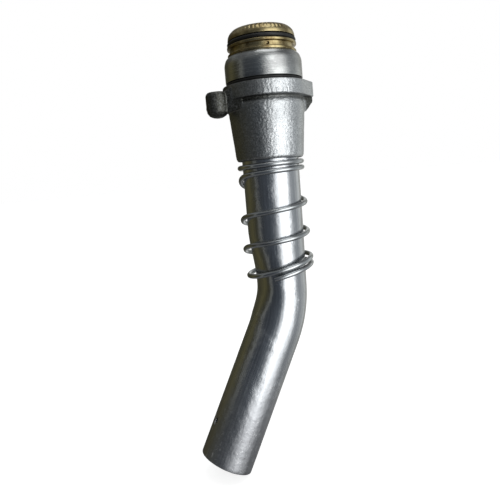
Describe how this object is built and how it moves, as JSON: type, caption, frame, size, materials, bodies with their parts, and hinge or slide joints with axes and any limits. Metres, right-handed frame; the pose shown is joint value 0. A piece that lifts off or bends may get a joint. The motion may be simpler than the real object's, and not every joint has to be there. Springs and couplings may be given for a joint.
{
  "type": "fuel nozzle spout assembly",
  "caption": "Bent aluminium fuel nozzle spout with cast flanged adaptor, brass inlet ring, check poppet, retaining spring and tip sensing port.",
  "frame": {"origin": "bottom centre of the bounding box: the lowest point is the end of the tip, and the spigot's axis is 11.5 mm from it towards +X; the flange's upper mating face is at z = 169.1 mm", "axes": "+Z along the straight part of the spout towards the inlet; the spout bends towards -X, where the lug is; the tab with the vent passage is at +X"},
  "size_m": [0.0636, 0.0364, 0.1915],
  "materials": {
    "cast_aluminium": "as-cast skin, with turned spigot and faces",
    "drawn_aluminium": "drawn, finely brushed lengthwise",
    "ring_brass": "turned, slightly tarnished",
    "turned_brass": "turned",
    "spring_steel": "drawn wire",
    "ball_steel": "polished",
    "o_ring_rubber": "moulded",
    "vent_nylon": "extruded",
    "guide_acetal": "moulded"
  },
  "bodies": {
    "spout": {"adaptor_casting": "cast_aluminium", "spout_tube": "drawn_aluminium", "seat_ring": "ring_brass", "seat_ring_o_ring": "o_ring_rubber", "spigot_o_ring": "o_ring_rubber", "tube_o_ring": "o_ring_rubber", "poppet_guide": "guide_acetal", "guide_bush": "turned_brass", "guide_snap_ring": "spring_steel", "poppet_spring": "spring_steel", "vent_elbow": "turned_brass", "vent_tube": "vent_nylon", "passage_plug": "turned_brass", "ball_housing": "turned_brass", "ball_seat": "guide_acetal", "ball_end_plug": "turned_brass", "sensing_port_bush": "drawn_aluminium"},
    "poppet": {"poppet_stem": "turned_brass", "poppet_seal": "o_ring_rubber", "poppet_nose": "turned_brass", "poppet_nut": "spring_steel"},
    "ball": {"sensing_ball": "ball_steel"},
    "hold_in_spring": {"retaining_spring": "spring_steel"}
  },
  "joints": [
    {"name": "poppet_slide", "type": "slide", "parent": "spout", "child": "poppet", "axis": [0, 0, -1], "range_m": [0, 0.004], "stiffness_N_per_m": 400, "springref_m": -0.004, "deforming": ["poppet_spring"]},
    {"name": "ball_slide", "type": "slide", "parent": "spout", "child": "ball", "axis": [0.454, 0, 0.891], "range_m": [0, 0.006]},
    {"name": "retaining_spring_squeeze", "type": "slide", "parent": "spout", "child": "hold_in_spring", "axis": [0, 0, 1], "range_m": [0, 0.012], "stiffness_N_per_m": 900, "deforming": ["retaining_spring"]}
  ]
}
